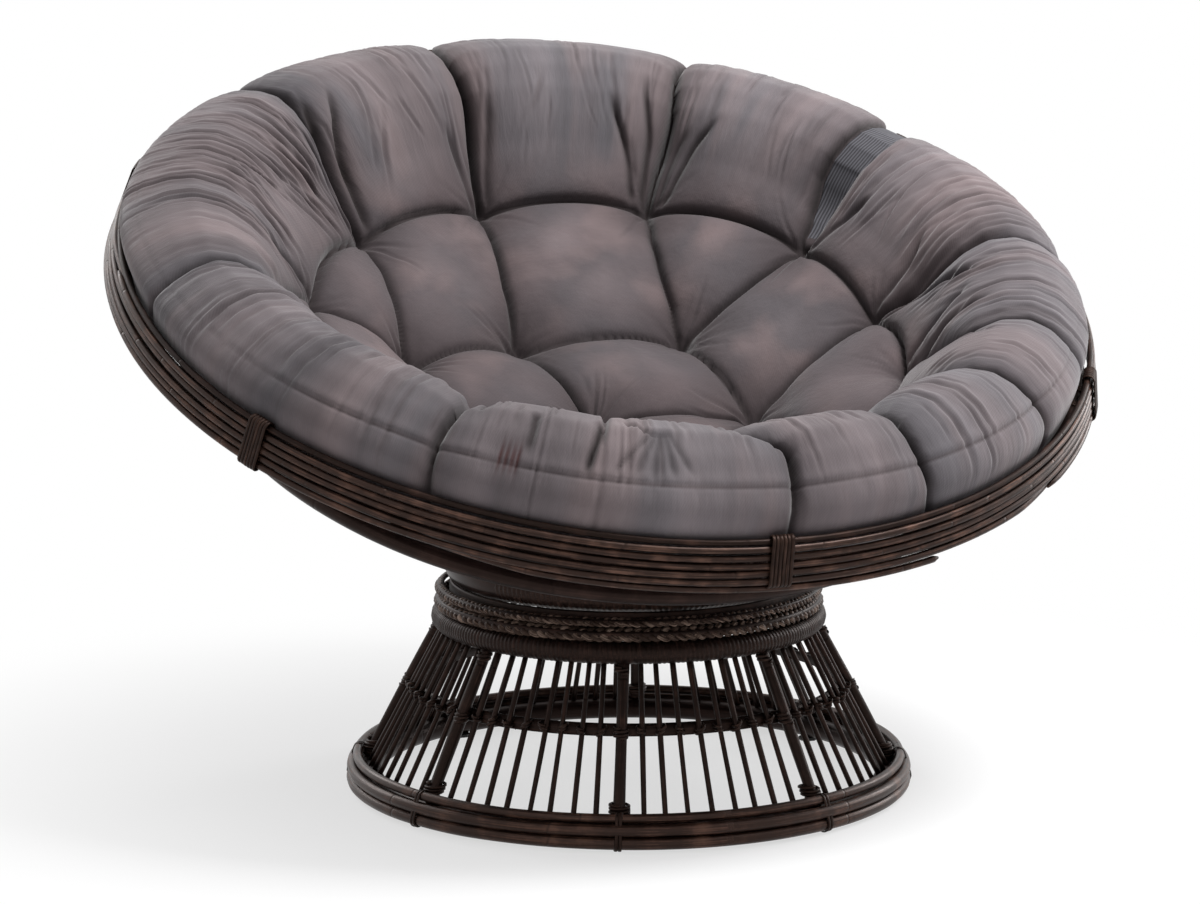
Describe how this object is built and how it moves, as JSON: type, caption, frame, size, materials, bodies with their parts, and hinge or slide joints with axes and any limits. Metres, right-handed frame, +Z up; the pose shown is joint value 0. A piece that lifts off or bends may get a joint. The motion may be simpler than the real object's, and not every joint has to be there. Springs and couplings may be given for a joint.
{
  "type": "papasan chair",
  "caption": "Round swivel papasan chair with a tilted cane bowl, a deep tufted cushion and a flared cane base.",
  "frame": {"origin": "on the floor, under the middle of the chair's box", "axes": "+Z up; -Y is the front, which the bowl tips down towards; +X is the sitter's left and runs along the chair's longest side"},
  "size_m": [1.0198, 0.9486, 0.7337],
  "materials": {
    "cane": "dark brown stained cane, satin lacquer",
    "dark_cane": "near-black brown stained cane, worn lacquer",
    "pole": "dark brown stained rattan pole, smooth satin lacquer",
    "steel": "dark satin paint",
    "glide": "matt black",
    "cushion": "soft grey twill with a faint purple cast",
    "strap": "ribbed blue-grey webbing"
  },
  "bodies": {
    "base": {"bearing_plate_lower": "steel", "braid_lower": "dark_cane", "braid_upper": "dark_cane", "floor_hoop": "pole", "glide_1": "glide", "glide_2": "glide", "glide_3": "glide", "glide_4": "glide", "leg_1": "dark_cane", "leg_2": "dark_cane", "leg_3": "dark_cane", "leg_4": "dark_cane", "leg_5": "dark_cane", "leg_6": "dark_cane", "leg_7": "dark_cane", "leg_8": "dark_cane", "mid_hoop": "pole", "skirt_cane_lower": "cane", "skirt_cane_top": "cane", "skirt_cane_upper": "cane", "stake_panel_1": "dark_cane", "stake_panel_2": "dark_cane", "stake_panel_3": "dark_cane", "stake_panel_4": "dark_cane", "stake_panel_5": "dark_cane", "stake_panel_6": "dark_cane", "stake_panel_7": "dark_cane", "stake_panel_8": "dark_cane", "top_hoop": "pole"},
    "ball_ring": {"ball_ring": "steel"},
    "bowl": {"bearing_plate_upper": "steel", "bowl_strut_back": "pole", "bowl_strut_left": "pole", "bowl_strut_right": "pole", "cradle": "steel", "cushion": "cushion", "dish_hoop": "pole", "dish_hub": "pole", "dish_rib_1": "pole", "dish_rib_2": "pole", "dish_rib_3": "pole", "dish_rib_4": "pole", "dish_rib_5": "pole", "dish_rib_6": "pole", "foot_ring": "pole", "kingpin": "steel", "rim_binding_1": "cane", "rim_binding_2": "cane", "rim_binding_3": "cane", "rim_binding_4": "cane", "rim_binding_5": "cane", "rim_binding_6": "cane", "rim_cane_1": "cane", "rim_cane_2": "cane", "rim_cane_3": "cane", "rim_cane_4": "cane", "rim_cane_5": "cane", "rim_cane_6": "cane", "rim_hoop": "pole", "strap": "strap"}
  },
  "joints": [
    {"name": "swivel", "type": "hinge", "parent": "base", "child": "bowl", "pos_m": [0, -0.068, 0.2], "axis": [0, 0, 1], "continuous": true},
    {"name": "ball_ring_roll", "type": "hinge", "parent": "base", "child": "ball_ring", "pos_m": [0, -0.068, 0.187], "axis": [0, 0, 1], "continuous": true}
  ],
  "couplings": [
    {"joint": "ball_ring_roll", "follows": "swivel", "ratio": 0.5}
  ]
}
